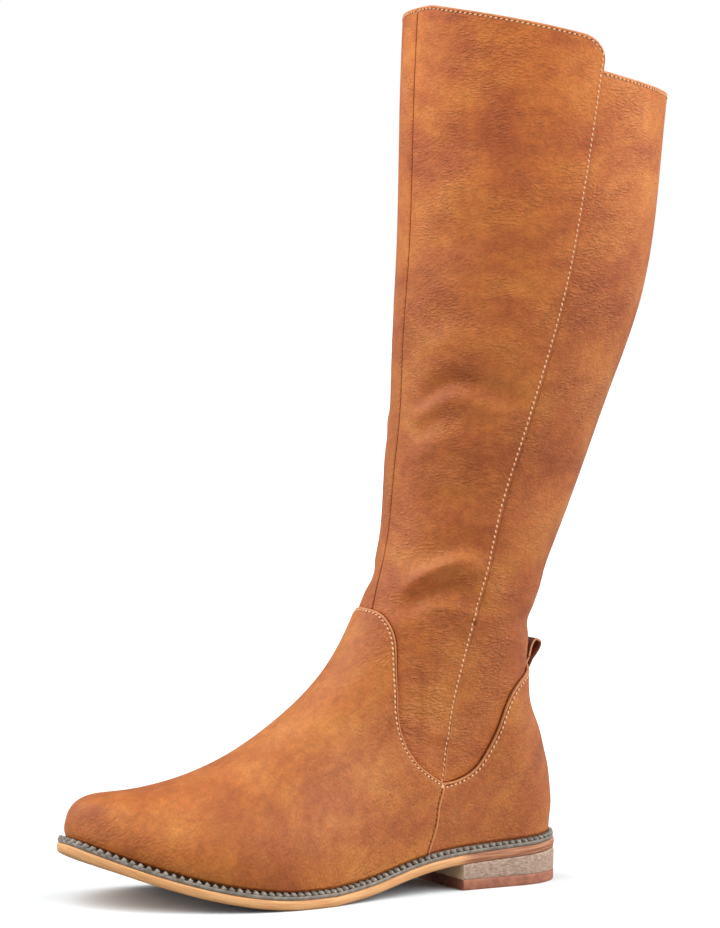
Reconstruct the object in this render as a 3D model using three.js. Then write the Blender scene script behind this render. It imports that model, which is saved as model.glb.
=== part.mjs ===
// A knee-high pull-on boot for the left foot, in millimetres: +X towards the toe, +Y the outer side, +Z up.
// The whole leather body is one hollow wall, lofted through sections that start as the last's bottom
// outline (the feather line), tip up over the toe and instep, and end as the ring of the collar. Vamp and
// heel counter are second layers that stand proud of that wall. Welt, outsole, stacked heel and top lift
// carry it.
import * as THREE from "three";

// Driving dimensions.
const length = 260; // the last's scale along the foot: every x is a share of it
const ballWidth = 88; // and across it: the plan's widths are shares of it
const bootHeight = 415; // floor to the collar above the shin
const heelHeight = 16.2; // floor to the outsole at the back of the heel
const toeSpring = 25; // floor to the outsole at the far end of the length
const heelLength = 67; // back of the heel to its breast
const calfWidth = 114; // across the shaft at the collar
const legCentre = 1.5; // how far the shaft stands to the outer side of the heel

// Thicknesses and clearances.
const wall = 2; // leather and lining together
const overlay = 0.9; // the second layer of vamp and counter
const shinProud = 0.9; // the shin panels lap over the calf panel
const gap = 0.3; // between pieces that touch
const layerGap = 0.7; // between the body and a second layer, whose facets differ
const insoleGap = 1.2; // between the insole and the leather round it
const outsoleThick = 4.4;
const weltThick = 2.8;
const topLiftThick = 5;
const insoleThick = 3; // of the insole board, above the welt
const weltAtToe = 6.2; // how far the welt reaches out from the feather line
const weltAtHeel = 3.8;
const soleEdge = 0.6; // how far the outsole reaches beyond the welt
const loopWide = 13; // pull loop: the strap, and the teardrop that it is folded into
const loopThick = 1.2;
const loopTall = 11.5;
const loopDeep = 4.8;

// A natural cubic spline through knots (xs, ys), held straight past its ends.
function spline(xs, ys) {
  const n = xs.length;
  const second = new Array(n).fill(0);
  const carry = new Array(n).fill(0);
  for (let i = 1; i < n - 1; i++) {
    const share = (xs[i] - xs[i - 1]) / (xs[i + 1] - xs[i - 1]);
    const pivot = share * second[i - 1] + 2;
    const bend = (ys[i + 1] - ys[i]) / (xs[i + 1] - xs[i]) - (ys[i] - ys[i - 1]) / (xs[i] - xs[i - 1]);
    second[i] = (share - 1) / pivot;
    carry[i] = ((6 * bend) / (xs[i + 1] - xs[i - 1]) - share * carry[i - 1]) / pivot;
  }
  for (let i = n - 2; i > 0; i--) second[i] = second[i] * second[i + 1] + carry[i];
  return (x) => {
    const at = THREE.MathUtils.clamp(x, xs[0], xs[n - 1]);
    let i = 0;
    while (i < n - 2 && at > xs[i + 1]) i++;
    const span = xs[i + 1] - xs[i];
    const b = (at - xs[i]) / span;
    const a = 1 - b;
    const curve = (a ** 3 - a) * second[i] + (b ** 3 - b) * second[i + 1];
    return a * ys[i] + b * ys[i + 1] + (curve * span ** 2) / 6;
  };
}

// One spline for each named column of a table. Its knots are the column `at`, or else the row numbers.
function columns(names, rows, at) {
  const knots = at ? rows.map((row) => row[names.indexOf(at)]) : rows.map((_, i) => i);
  return Object.fromEntries(names.map((name, i) => [name, spline(knots, rows.map((row) => row[i]))]));
}

// The last's bottom: its centre line and half width, as shares of the ball width, along the sole's length.
const plan = columns(
  ["along", "centre", "half"],
  [
    [0.0, 0.0, 0.265],
    [0.12, 0.0, 0.272],
    [0.25, 0.01, 0.278],
    [0.38, 0.035, 0.29],
    [0.5, 0.065, 0.345],
    [0.61, 0.07, 0.412],
    [0.71, 0.035, 0.437],
    [0.81, -0.025, 0.425],
    [0.91, -0.075, 0.385],
    [1.0, -0.11, 0.33],
  ],
  "along",
);

// The underside of the outsole seen from the side: heel seat, waist, flat tread at the ball, toe spring.
const flatFrom = 0.555 * length;
const flatTo = 0.62 * length;
const springCurve = 1.85; // how late the toe spring turns up
const rise = columns(
  ["along", "lift"],
  [
    [0, heelHeight],
    [0.5 * heelLength, heelHeight - 2.2],
    [heelLength, heelHeight - 4],
    [0.36 * length, 0.52 * heelHeight],
    [0.45 * length, 0.2 * heelHeight],
    [flatFrom, 0],
  ],
  "along",
);
const treadZ = (x) => {
  if (x < flatFrom) return Math.max(0, rise.lift(x));
  const t = Math.max(0, (x - flatTo) / (length - flatTo));
  return toeSpring * t ** springCurve;
};
const seatZ = (x) => treadZ(x) + outsoleThick + gap; // top of the outsole, where the welt lies
const featherZ = (x) => seatZ(x) + weltThick + gap; // top of the welt, where the leather stands

// The sections of the leather body, from the feather line to just past the collar. Front and back are where
// a section meets the ridge of the foot or shin and the heel or calf, x as a share of the length and z of
// the height; half is a leg section's half width as a share of the calf's; seam is how far from the back
// the side seam crosses; foot is 1 where the last's bottom outline shapes the section and 0 where the leg
// does; sag is how far the section follows the curve of the sole.
const toeTip = 0.965;
const heelTip = 0.027;
const toeFeather = featherZ(toeTip * length) / bootHeight;
const heelFeather = featherZ(heelTip * length) / bootHeight;
const sections = columns(
  ["frontX", "frontZ", "backX", "backZ", "half", "seam", "foot", "sag"],
  [
    [toeTip, toeFeather, heelTip, heelFeather, 0.5, 0.322, 1, 1],
    [0.97, 0.086, 0.025, 0.073, 0.51, 0.312, 1, 0.97],
    [0.964, 0.102, 0.023, 0.088, 0.52, 0.306, 1, 0.9],
    [0.93, 0.1145, 0.025, 0.103, 0.53, 0.312, 1, 0.8],
    [0.858, 0.118, 0.028, 0.118, 0.54, 0.328, 0.97, 0.66],
    [0.765, 0.13, 0.033, 0.135, 0.55, 0.358, 0.92, 0.5],
    [0.67, 0.155, 0.042, 0.154, 0.56, 0.4, 0.84, 0.34],
    [0.582, 0.19, 0.054, 0.177, 0.57, 0.445, 0.7, 0.2],
    [0.502, 0.23, 0.074, 0.205, 0.58, 0.49, 0.5, 0.1],
    [0.44, 0.277, 0.082, 0.24, 0.6, 0.53, 0.28, 0.03],
    [0.392, 0.335, 0.083, 0.284, 0.63, 0.555, 0.1, 0],
    [0.358, 0.4, 0.071, 0.338, 0.67, 0.568, 0, 0],
    [0.35, 0.475, 0.031, 0.402, 0.72, 0.572, 0, 0],
    [0.339, 0.55, -0.016, 0.478, 0.79, 0.56, 0, 0],
    [0.334, 0.635, -0.068, 0.565, 0.87, 0.542, 0, 0],
    [0.328, 0.725, -0.125, 0.66, 0.94, 0.536, 0, 0],
    [0.326, 0.82, -0.155, 0.76, 0.985, 0.522, 0, 0],
    [0.326, 0.915, -0.169, 0.86, 1, 0.495, 0, 0],
    [0.323, 1.02, -0.188, 0.965, 1, 0.475, 0, 0],
  ],
);
const lastSection = 18;

// The ridge of the foot and shin as a height for each x, read off the front of the sections.
const ridge = Array.from({ length: 400 }, (_, i) => {
  const row = (lastSection * i) / 399;
  return [sections.frontX(row) * length, sections.frontZ(row) * bootHeight];
});
function ridgeZ(x) {
  for (let i = ridge.length - 1; i > 0; i--) {
    const [x1, z1] = ridge[i];
    const [x0, z0] = ridge[i - 1];
    if (x >= x1 && x < x0) return z0 + ((z1 - z0) * (x0 - x)) / (x0 - x1);
  }
  return x < ridge[ridge.length - 1][0] ? bootHeight : ridge[0][1];
}

const heelRound = 27; // length over which the last's outline rounds off at the heel
const toeRound = 0.27 * length; // and at the toe
// Powers of the superellipses that round each form: 2 is a circle's, more is squarer.
const roundOf = { heel: 2.2, toe: 2.25, foot: 2.3, calf: 2.1, shin: 1.95 };
const footSwell = 0.05; // how far the foot's sides bulge over the welt, as a share of its half width
const legMiddle = 0.47; // where a leg section is widest, as a share of its depth from the back
const superRound = (t, power) => (1 - Math.min(1, Math.abs(t)) ** power) ** (1 / power);

// Half width of the last's bottom at x, for an outline that runs from `back` to `front`.
function bottomHalf(x, back, front) {
  const fromBack = Math.max(0, x - back);
  const toFront = Math.max(0, front - x);
  const heel = fromBack < heelRound ? superRound(1 - fromBack / heelRound, roundOf.heel) : 1;
  const toe = toFront < toeRound ? superRound(1 - toFront / toeRound, roundOf.toe) : 1;
  return plan.half(x / length) * ballWidth * heel * toe;
}

// A point of the leather body's surface. u goes round it: 0 the front, 0.25 the outer side seam, 0.5 the
// back, 0.75 the inner side seam. row goes up it, as a section number.
function bodyPoint(u, row) {
  const turn = u - Math.floor(u);
  const outer = turn <= 0.5;
  const t = outer ? 2 * turn : 2 - 2 * turn; // 0 at the front, 1 at the back
  const cross = Math.acos(2 * sections.seam(row) - 1) / Math.PI;
  const bent = t + 4 * (cross - 0.5) * t * (1 - t);
  const s = (1 + Math.cos(Math.PI * bent)) / 2; // 0 at the back, 1 at the front
  const backX = sections.backX(row) * length;
  const frontX = sections.frontX(row) * length;
  const x = backX + (frontX - backX) * s;
  const backZ = sections.backZ(row) * bootHeight;
  const frontZ = sections.frontZ(row) * bootHeight;
  const straight = featherZ(backX) + (featherZ(frontX) - featherZ(backX)) * s;
  const z = backZ + (frontZ - backZ) * s + sections.sag(row) * (featherZ(x) - straight);

  const foot = THREE.MathUtils.clamp(sections.foot(row), 0, 1);
  const base = featherZ(x);
  const h = THREE.MathUtils.clamp((z - base) / Math.max(1, ridgeZ(x) - base), 0, 1);
  const swell = 1 + footSwell * Math.sin(Math.PI * Math.min(1, 1.6 * h)); // gone at 5/8 of the height
  const tip = sections.frontX(Math.min(1, row)) * length; // the toe leans out up to section 1
  const footHalf = bottomHalf(x, backX, tip) * superRound(h, roundOf.foot) * swell;
  const behind = s < legMiddle;
  const reach = behind ? (legMiddle - s) / legMiddle : (s - legMiddle) / (1 - legMiddle);
  const legRound = superRound(reach, behind ? roundOf.calf : roundOf.shin);
  const legHalf = (sections.half(row) * calfWidth * legRound) / 2;
  const half = foot * footHalf + (1 - foot) * legHalf;
  const centre = foot * plan.centre(x / length) * ballWidth + (1 - foot) * legCentre;
  return new THREE.Vector3(x, centre + (outer ? half : -half), z);
}

// The same point moved out of the surface by `out`, along the surface's own normal.
function bodyOffset(u, row, out) {
  const stepU = 0.004;
  const stepRow = 0.05;
  const low = Math.max(0, row - stepRow);
  const around = bodyPoint(u + stepU, row).sub(bodyPoint(u - stepU, row));
  const up = bodyPoint(u, row + stepRow).sub(bodyPoint(u, low));
  const normal = around.cross(up).normalize();
  const free = THREE.MathUtils.smoothstep(row, 0, 1); // 0 at the feather line: the rim lies on the welt
  normal.z *= free;
  const base = bodyPoint(u, row);
  const moved = base.clone().addScaledVector(normal.normalize(), out);
  moved.z += (1 - free) * (featherZ(moved.x) - featherZ(base.x));
  return moved;
}

// Heights of the collar: the shin panels dip towards the side seam and end in a round corner, and the calf
// panel is lower.
const shinTop = bootHeight;
const shinTopAtSeam = 400;
const crest = 0.03; // u of the highest point, a little to the outer side of the shin
const cornerRadius = 10;
const girth = 2.95 * calfWidth; // round the collar
const evenDrop = 0.6; // the share of the shin panels' dip that is straight; the rest gathers at the seam
const calfTopAtSeam = 386;
const calfTop = 375.5;
const seamSide = 0.25; // u of the outer side seam; the inner one is at 1 - seamSide

function rowAtHeight(u, z) {
  let low = 0;
  let high = lastSection;
  for (let i = 0; i < 40; i++) {
    const mid = (low + high) / 2;
    if (bodyPoint(u, mid).z < z) low = mid;
    else high = mid;
  }
  return (low + high) / 2;
}
function shinCollarRow(u) {
  const t = Math.abs(u - crest) / (seamSide - Math.sign(u - crest) * crest);
  const toEdge = Math.max(0, cornerRadius - (seamSide - Math.abs(u)) * girth);
  const drop = cornerRadius - Math.sqrt(Math.max(0, cornerRadius ** 2 - toEdge ** 2));
  const top = shinTop + (shinTopAtSeam - shinTop) * (evenDrop * t + (1 - evenDrop) * t * t);
  return rowAtHeight(u, top - drop);
}
function calfCollarRow(u) {
  const t = Math.abs(u - 0.5) / seamSide; // 1 at a seam, 0 at the back
  return rowAtHeight(u, calfTop + (calfTopAtSeam - calfTop) * t * t);
}

// Collects triangles and closes them into one mesh.
class Skin {
  constructor() {
    this.corners = [];
  }
  // A fan over a polygon whose corners run anticlockwise seen from outside.
  fan(...points) {
    for (let i = 1; i < points.length - 1; i++) this.corners.push(points[0], points[i], points[i + 1]);
  }
  // A strip between two rows of points; it faces out when `b` lies above `a` and both run anticlockwise.
  strip(a, b) {
    for (let i = 0; i < a.length - 1; i++) this.fan(a[i], a[i + 1], b[i + 1], b[i]);
  }
  // A sheet over rows of points, facing out or, turned, in.
  sheet(rows, turned = false) {
    for (let i = 0; i < rows.length - 1; i++) {
      if (turned) this.strip(rows[i + 1], rows[i]);
      else this.strip(rows[i], rows[i + 1]);
    }
  }
  // The triangles, without the ones that shrink to a line where a strip ends in a point.
  geometry() {
    const solid = [];
    for (let i = 0; i < this.corners.length; i += 3) {
      const [a, b, c] = this.corners.slice(i, i + 3);
      const near = 1e-3;
      if (a.distanceTo(b) > near && b.distanceTo(c) > near && c.distanceTo(a) > near) solid.push(a, b, c);
    }
    return new THREE.BufferGeometry().setFromPoints(solid);
  }
}

const node = (name, geometry, color, roughness) => {
  geometry.computeVertexNormals();
  const mesh = new THREE.Mesh(geometry, new THREE.MeshStandardMaterial({ color, roughness, metalness: 0 }));
  mesh.name = name;
  return mesh;
};

// Evenly spread values from a to b.
const spread = (a, b, steps) => Array.from({ length: steps + 1 }, (_, i) => a + ((b - a) * i) / steps);

// Values of u over a panel, closer together beside its two seams.
const crowding = 0.55; // 0 is even
const acrossPanel = (from, to, steps) =>
  spread(0, 1, steps).map((t) => {
    const crowded = t - (crowding * Math.sin(2 * Math.PI * t)) / (2 * Math.PI);
    return from + (to - from) * crowded;
  });

// Leather body: shin panels from the inner round to the outer seam, and the calf panel behind them.
const bodyRows = 35; // rows up to the calf panel's collar
const crownRows = 3; // rows of the shin panels above it
function upper() {
  const shinUs = acrossPanel(-seamSide, seamSide, 26);
  const calfUs = acrossPanel(seamSide, 1 - seamSide, 16);
  const seamTop = calfCollarRow(seamSide);
  const low = (k, u) => (k / bodyRows) * (u > seamSide ? calfCollarRow(u) : seamTop);
  const high = (k, u) => seamTop + ((shinCollarRow(u) - seamTop) * k) / crownRows;
  const shinRowsAt = (out) => [
    ...spread(0, bodyRows, bodyRows).map((k) => shinUs.map((u) => bodyOffset(u, low(k, u), out))),
    ...spread(1, crownRows, crownRows - 1).map((k) => shinUs.map((u) => bodyOffset(u, high(k, u), out))),
  ];
  const calfRowsAt = (out) =>
    spread(0, bodyRows, bodyRows).map((k) => calfUs.map((u) => bodyOffset(u, low(k, u), out)));
  const shinOut = shinRowsAt(shinProud);
  const calfOut = calfRowsAt(0);
  const shinIn = shinRowsAt(-wall);
  const calfIn = calfRowsAt(-wall);
  const skin = new Skin();
  skin.sheet(shinOut);
  skin.sheet(calfOut);
  skin.sheet(shinIn, true);
  skin.sheet(calfIn, true);
  // The rims: feather line below, collar above.
  const top = shinOut.length - 1;
  skin.strip(shinIn[0], shinOut[0]);
  skin.strip(calfIn[0], calfOut[0]);
  skin.strip(shinOut[top], shinIn[top]);
  skin.strip(calfOut[bodyRows], calfIn[bodyRows]);
  // The lapped edges of the shin panels, down both side seams.
  for (const [shinEnd, calfEnd, outward] of [
    [shinUs.length - 1, 0, true],
    [0, calfUs.length - 1, false],
  ]) {
    const face = (...points) => skin.fan(...(outward ? points : points.reverse()));
    for (let k = 0; k < bodyRows; k++) {
      const [a, b] = [shinOut[k][shinEnd], shinOut[k + 1][shinEnd]];
      face(a, calfOut[k][calfEnd], calfOut[k + 1][calfEnd], b);
    }
    face(shinOut[0][shinEnd], shinIn[0][shinEnd], calfOut[0][calfEnd]);
    for (let k = bodyRows; k < top; k++) {
      const foot = k === bodyRows ? [calfOut[k][calfEnd]] : [];
      const inner = [shinIn[k][shinEnd], shinIn[k + 1][shinEnd]];
      face(shinOut[k][shinEnd], ...foot, ...inner, shinOut[k + 1][shinEnd]);
    }
  }
  return skin.geometry();
}

// A second layer over the body, between the offsets `under` and `over`, on a sheet of (u, row) pairs.
function layer(rows, under, over) {
  const at = (out) => rows.map((points) => points.map(([u, row]) => bodyOffset(u, row, out)));
  const inner = at(under);
  const outer = at(over);
  const top = rows.length - 1;
  const end = rows[0].length - 1;
  const column = (grid, i) => grid.map((points) => points[i]);
  const skin = new Skin();
  skin.sheet(outer);
  skin.sheet(inner, true);
  skin.strip(inner[0], outer[0]);
  skin.strip(outer[top], inner[top]);
  skin.strip(column(outer, 0), column(inner, 0));
  skin.strip(column(inner, end), column(outer, end));
  return skin.geometry();
}

// Upper edges of the vamp and of the counter: `share` runs from the middle (0) to the side seam (1), and
// height is in mm over the floor. `foot` is where the same line meets the feather line, as a share.
const seamGap = 0.0012; // of u, half the gap between vamp and counter
const vampEdge = columns(
  ["share", "foot", "height"],
  [
    [0, 0, 131.5],
    [0.2, 0.1, 130.5],
    [0.35, 0.2, 126],
    [0.46, 0.31, 118.5],
    [0.54, 0.42, 108],
    [0.63, 0.54, 95],
    [0.73, 0.67, 79],
    [0.82, 0.79, 67],
    [0.91, 0.9, 58],
    [1, 1, 51],
  ],
);
const counterEdge = columns(
  ["share", "foot", "height"],
  [
    [0, 0, 103],
    [0.2, 0.14, 101.5],
    [0.38, 0.29, 98.5],
    [0.52, 0.44, 94.5],
    [0.62, 0.56, 87.5],
    [0.71, 0.67, 77],
    [0.79, 0.77, 66.5],
    [0.86, 0.86, 58],
    [0.93, 0.93, 53],
    [1, 1, 50.5],
  ],
);

// A sheet of (u, row) pairs from the feather line up to such an edge, on both sides of `middle`.
function underEdge(edge, middle, across, up) {
  const reach = seamSide - seamGap;
  const lastRow = 9; // of either table
  const uprights = spread(-lastRow, lastRow, across).map((step) => {
    const t = Math.abs(step);
    const side = Math.sign(step) * reach;
    const topU = middle + side * edge.share(t);
    return { footU: middle + side * edge.foot(t), topU, topRow: rowAtHeight(topU, edge.height(t)) };
  });
  return spread(0, 1, up).map((k) =>
    uprights.map(({ footU, topU, topRow }) => [footU + (topU - footU) * k, topRow * k]),
  );
}
const vampUnder = shinProud + layerGap;
const vamp = () => layer(underEdge(vampEdge, 0, 44, 13), vampUnder, vampUnder + overlay);
const counter = () => layer(underEdge(counterEdge, 0.5, 28, 10), layerGap, layerGap + overlay);

// A point of the bottom outline moved out by `out`, level with z = 0.
function outline(u, out) {
  const along = bodyPoint(u + 0.002, 0).sub(bodyPoint(u - 0.002, 0));
  return new THREE.Vector3(along.y, -along.x, 0)
    .normalize()
    .multiplyScalar(out)
    .add(bodyPoint(u, 0))
    .setZ(0);
}
// How far the welt and the outsole reach out, less at the heel than at the toe.
const weltReach = (u) => weltAtHeel + (weltAtToe - weltAtHeel) * (0.5 + 0.5 * Math.cos(2 * Math.PI * u));
const soleReach = (u) => weltReach(u) + soleEdge;

// u on the outer (side 1) or inner (side -1) edge of the sole where its x is the one asked for.
function uAtX(x, reach, side) {
  let low = 0;
  let high = 0.5;
  for (let i = 0; i < 40; i++) {
    const mid = (low + high) / 2;
    if (outline(side * mid, reach(mid)).x > x) low = mid;
    else high = mid;
  }
  return side * low;
}

// A plate under the foot from the heel forward to `front`, between the heights low(x) and high(x).
function plate(reach, steps, low, high, front = Infinity) {
  const edge = (side) => {
    const last = front === Infinity ? 0 : uAtX(front, reach, side);
    return spread(side * 0.5, last, steps).map((u) => outline(u, reach(u)));
  };
  const atHeight = (points, height) => points.map((p) => p.clone().setZ(height(p.x)));
  const [outerEdge, innerEdge] = [edge(1), edge(-1)];
  const [outerLow, innerLow] = [atHeight(outerEdge, low), atHeight(innerEdge, low)];
  const [outerHigh, innerHigh] = [atHeight(outerEdge, high), atHeight(innerEdge, high)];
  const skin = new Skin();
  skin.strip(innerHigh, outerHigh);
  skin.strip(outerLow, innerLow);
  skin.strip(outerHigh, outerLow);
  skin.strip(innerLow, innerHigh);
  if (front !== Infinity) skin.fan(innerLow[steps], outerLow[steps], outerHigh[steps], innerHigh[steps]);
  return skin.geometry();
}
const outsole = () => plate(soleReach, 40, treadZ, (x) => seatZ(x) - gap);
const insole = () => plate(() => -wall - insoleGap, 34, seatZ, (x) => featherZ(x) + insoleThick);
const heelBlock = () => plate(soleReach, 14, () => topLiftThick + gap, (x) => treadZ(x) - gap, heelLength);
const topLift = () => plate(soleReach, 14, () => 0, () => topLiftThick, heelLength);

// The welt is a ring: its inner edge lies under the leather, flush with the inside of the wall.
function welt() {
  const us = spread(0, 1, 80);
  const ring = (reach, height) =>
    us.map((u) => {
      const p = outline(u, reach(u));
      return p.setZ(height(p.x));
    });
  const top = (x) => featherZ(x) - gap;
  const [outLow, outHigh] = [ring(weltReach, seatZ), ring(weltReach, top)];
  const [inLow, inHigh] = [ring(() => -wall, seatZ), ring(() => -wall, top)];
  const skin = new Skin();
  skin.strip(outLow, outHigh);
  skin.strip(outHigh, inHigh);
  skin.strip(inHigh, inLow);
  skin.strip(inLow, outLow);
  return skin.geometry();
}

// The pull loop: a strap folded into a teardrop that stands up from the top of the counter, behind the
// calf. It leans back, and its pinched foot stands just over the counter's edge.
const loopLean = 0.38; // radians
const loopPinch = 1.5; // how sharply the teardrop narrows to its foot
function pullLoop() {
  const footZ = counterEdge.height(0) + 1;
  const foot = bodyOffset(0.5, rowAtHeight(0.5, footZ), layerGap + overlay + gap);
  const teardrop = (inset) => {
    const tall = loopTall - 2 * inset;
    const deep = loopDeep / 2 - inset;
    return spread(0, 2 * Math.PI, 28)
      .slice(0, -1)
      .map((a) => {
        const width = deep * Math.sin(a) * Math.sin(a / 2) ** loopPinch;
        return new THREE.Vector2(width, (tall * (1 - Math.cos(a))) / 2 + inset);
      });
  };
  const shape = new THREE.Shape(teardrop(0));
  shape.holes.push(new THREE.Path(teardrop(loopThick).reverse()));
  return new THREE.ExtrudeGeometry(shape, { depth: loopWide, bevelEnabled: false, steps: 2 })
    .translate(0, 0, -loopWide / 2)
    .rotateX(Math.PI / 2)
    .rotateY(-loopLean)
    .translate(foot.x - loopDeep / 2 - 2 * gap, foot.y, footZ);
}

// Group and export. The origin is on the floor, under the middle of the boot's box.
const tan = 0xb9703f;
const boot = new THREE.Group();
boot.add(
  node("upper", upper(), tan, 0.55),
  node("vamp", vamp(), 0xc27a42, 0.5),
  node("counter", counter(), tan, 0.5),
  node("pull_loop", pullLoop(), 0x6b3a20, 0.6),
  node("welt", welt(), 0x82786e, 0.7),
  node("insole", insole(), 0xc9a27a, 0.8),
  node("outsole", outsole(), 0xd9a066, 0.6),
  node("heel_block", heelBlock(), 0xb59c80, 0.7),
  node("top_lift", topLift(), 0x8f5a3c, 0.7),
);
const box = new THREE.Box3().setFromObject(boot);
boot.position.set(-(box.min.x + box.max.x) / 2, -(box.min.y + box.max.y) / 2, 0);
export default boot;
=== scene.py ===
"""The finish of a knee-high pull-on boot for the left foot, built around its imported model.
Metres, +X towards the toe, +Y the outer side, +Z up, the sole on the floor at z = 0."""

import math

import bmesh
import bpy
import numpy as np
from mathutils import Matrix, Vector
from mathutils.bvhtree import BVHTree
from mathutils.kdtree import KDTree


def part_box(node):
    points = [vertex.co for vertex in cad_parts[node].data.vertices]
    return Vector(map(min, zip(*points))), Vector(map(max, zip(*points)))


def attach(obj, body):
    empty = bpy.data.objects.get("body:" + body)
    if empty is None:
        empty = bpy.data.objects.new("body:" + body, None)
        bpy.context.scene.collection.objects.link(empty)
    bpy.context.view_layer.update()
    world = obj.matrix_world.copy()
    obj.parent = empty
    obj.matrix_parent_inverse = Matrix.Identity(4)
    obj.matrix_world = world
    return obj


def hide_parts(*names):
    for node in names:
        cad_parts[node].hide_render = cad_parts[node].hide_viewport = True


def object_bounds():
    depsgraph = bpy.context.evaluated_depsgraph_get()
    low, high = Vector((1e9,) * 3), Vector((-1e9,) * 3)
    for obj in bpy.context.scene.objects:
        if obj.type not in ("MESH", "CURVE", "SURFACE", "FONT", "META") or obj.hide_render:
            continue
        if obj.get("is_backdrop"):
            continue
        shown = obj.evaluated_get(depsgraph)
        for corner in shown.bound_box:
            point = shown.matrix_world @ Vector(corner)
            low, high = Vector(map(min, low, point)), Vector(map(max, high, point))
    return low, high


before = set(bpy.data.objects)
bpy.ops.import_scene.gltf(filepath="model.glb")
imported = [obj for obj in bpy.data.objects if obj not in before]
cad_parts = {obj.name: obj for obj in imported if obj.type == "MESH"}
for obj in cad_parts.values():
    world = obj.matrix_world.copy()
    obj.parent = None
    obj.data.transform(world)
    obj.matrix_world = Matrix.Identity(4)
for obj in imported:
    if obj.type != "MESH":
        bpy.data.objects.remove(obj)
cad_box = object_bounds()


# ------------------------------
# Shaft: two shin panels of coated leather, closed down the shin and lapped over a calf panel behind them.
# Their tops are folded over and stitched, the shin panels' higher than the calf panel's. The leather of the
# whole boot is drawn over one last, whose plan, underside and sections come first.
mm = 0.001
length = 260 * mm  # the last's scale along the foot
ball_width = 88 * mm
boot_height = 415 * mm
heel_height = 16.2 * mm
toe_spring = 25 * mm
heel_length = 67 * mm
calf_width = 114 * mm
leg_centre = 1.5 * mm
outsole_thick = 4.4 * mm
wall_inside = 2 * mm  # how far inside the feather line the wall's inner face lies
welt_thick = 2.8 * mm
piece_gap = 0.3 * mm
heel_tip, toe_tip = 0.027, 0.965  # ends of the feather line, as shares of the length


def curve_through(knots, values):
    """A natural cubic spline through the values, held past its ends."""
    knots, values = np.array(knots, float), np.array(values, float)
    spans, steps = np.diff(knots), np.diff(values)
    system, pull = np.eye(len(knots)), np.zeros(len(knots))
    for i in range(1, len(knots) - 1):
        system[i, i - 1 : i + 2] = spans[i - 1], 2 * (spans[i - 1] + spans[i]), spans[i]
        pull[i] = 6 * (steps[i] / spans[i] - steps[i - 1] / spans[i - 1])
    bend = np.linalg.solve(system, pull)

    def at(x):
        x = np.clip(x, knots[0], knots[-1])
        i = np.clip(np.searchsorted(knots, x) - 1, 0, len(spans) - 1)
        b = (x - knots[i]) / spans[i]
        a = 1 - b
        curve = (a**3 - a) * bend[i] + (b**3 - b) * bend[i + 1]
        return a * values[i] + b * values[i + 1] + curve * spans[i] ** 2 / 6

    return at


def columns(names, rows, at=None):
    """One spline for each named column of a table. Its knots are the column `at`, or the row numbers."""
    table = dict(zip(names.split(), np.array(rows, float).T))
    knots = table[at] if at else np.arange(len(rows))
    return {name: curve_through(knots, values) for name, values in table.items()}


# Centre line and half width of the last's bottom, as shares of the ball width.
plan = columns(
    "along centre half",
    [
        (0.00, 0.000, 0.265), (0.12, 0.000, 0.272), (0.25, 0.010, 0.278), (0.38, 0.035, 0.290),
        (0.50, 0.065, 0.345), (0.61, 0.070, 0.412), (0.71, 0.035, 0.437), (0.81, -0.025, 0.425),
        (0.91, -0.075, 0.385), (1.00, -0.110, 0.330),
    ],
    "along",
)
flat_from, flat_to = 0.555 * length, 0.62 * length
rise = columns(
    "along lift",
    [
        (0, heel_height),
        (0.5 * heel_length, heel_height - 2.2 * mm),
        (heel_length, heel_height - 4 * mm),
        (0.36 * length, 0.52 * heel_height),
        (0.45 * length, 0.2 * heel_height),
        (flat_from, 0),
    ],
    "along",
)


def tread_z(x):
    """Underside of the outsole: heel seat, waist, flat tread and toe spring."""
    spring = np.clip((x - flat_to) / (length - flat_to), 0, None)
    return np.where(x < flat_from, np.maximum(0, rise["lift"](x)), toe_spring * spring**1.85)


def seat_z(x):
    return tread_z(x) + outsole_thick + piece_gap


def feather_z(x):
    return seat_z(x) + welt_thick + piece_gap


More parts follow.
